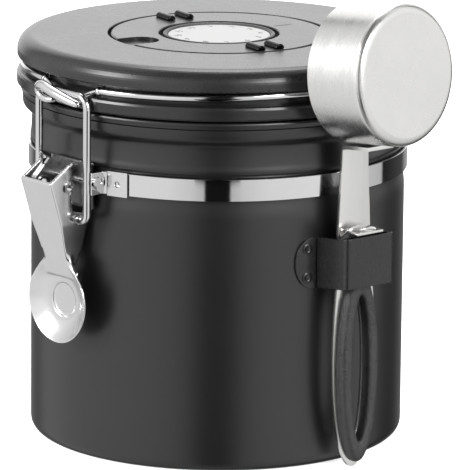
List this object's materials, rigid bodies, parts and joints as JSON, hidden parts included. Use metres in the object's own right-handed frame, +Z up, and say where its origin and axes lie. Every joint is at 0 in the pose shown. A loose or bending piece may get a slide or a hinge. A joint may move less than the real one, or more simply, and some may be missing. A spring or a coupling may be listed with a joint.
{
  "type": "storage canister",
  "caption": "Black steel coffee canister with a clamp-lid latch, a date ring over a one-way valve and a steel scoop hung on its side",
  "frame": {"origin": "centre of the base, on the table", "axes": "Z up; -Y to the front, where the latch lever stands; +X to the side that carries the scoop; lid hinge at +Y"},
  "size_m": [0.1571, 0.1476, 0.1517],
  "materials": {
    "black_paint": "satin black powder coat on steel",
    "chrome_steel": "bright polished steel",
    "black_plastic": "fine-grained moulded black plastic",
    "gloss_black": "smooth black moulding",
    "seal_rubber": "soft dark seal",
    "screw_steel": "plain steel screws",
    "grey_trim": "silver-grey trim",
    "white_plastic": "white dial plate with printed plain numbers",
    "valve_silicone": "soft translucent silicone",
    "filter_felt": "pressed white felt",
    "brushed_scoop": "fine brushed stainless steel"
  },
  "bodies": {
    "canister": {"canister_body": "black_paint", "clamp_band": "chrome_steel", "clinch_plates": "chrome_steel", "latch_bracket": "chrome_steel", "band_pin": "chrome_steel", "lever_rivets": "chrome_steel", "hinge_bracket": "chrome_steel", "hinge_pin": "chrome_steel", "scoop_holder": "black_paint", "holder_rivets": "black_paint"},
    "lid": {"lid_cap": "black_plastic", "lid_base": "black_plastic", "lid_gasket": "seal_rubber", "lid_ring": "chrome_steel", "lid_screws": "screw_steel", "dial_bezel": "grey_trim", "date_dial": "white_plastic", "valve_seat": "black_plastic", "filter_pad": "filter_felt", "valve_grille": "black_plastic"},
    "date_wheel": {"date_ring": "black_plastic", "ring_grips": "gloss_black", "ring_pointer": "grey_trim"},
    "valve": {"valve_flap": "valve_silicone"},
    "lever": {"latch_lever": "chrome_steel"},
    "bail": {"latch_bail": "chrome_steel", "bail_hook": "chrome_steel"},
    "scoop": {"scoop_cup": "brushed_scoop", "scoop_handle": "brushed_scoop", "scoop_grip": "gloss_black"}
  },
  "joints": [
    {"name": "lid_hinge", "type": "hinge", "parent": "canister", "child": "lid", "pos_m": [0, 0.068, 0.112], "axis": [-1, 0, 0], "range_deg": [0, 95]},
    {"name": "lever_pivot", "type": "hinge", "parent": "canister", "child": "lever", "pos_m": [0, -0.069, 0.0894], "axis": [-1, 0, 0], "range_deg": [0, 55.1]},
    {"name": "bail_pivot", "type": "hinge", "parent": "lever", "child": "bail", "pos_m": [0, -0.06525, 0.0788], "axis": [1, 0, 0], "range_deg": [0, 153.1]},
    {"name": "date_turn", "type": "hinge", "parent": "lid", "child": "date_wheel", "pos_m": [0, 0, 0.128], "axis": [0, 0, 1], "continuous": true},
    {"name": "valve_lift", "type": "slide", "parent": "lid", "child": "valve", "axis": [0, 0, 1], "range_m": [0, 0.001]},
    {"name": "scoop_lift", "type": "slide", "parent": "canister", "child": "scoop", "axis": [0, 0, 1], "range_m": [0, 0.08]}
  ],
  "couplings": [
    {"joint": "lever_pivot", "follows": "lid_hinge", "ratio": 0.579},
    {"joint": "bail_pivot", "follows": "lid_hinge", "ratio": 1.6105}
  ]
}
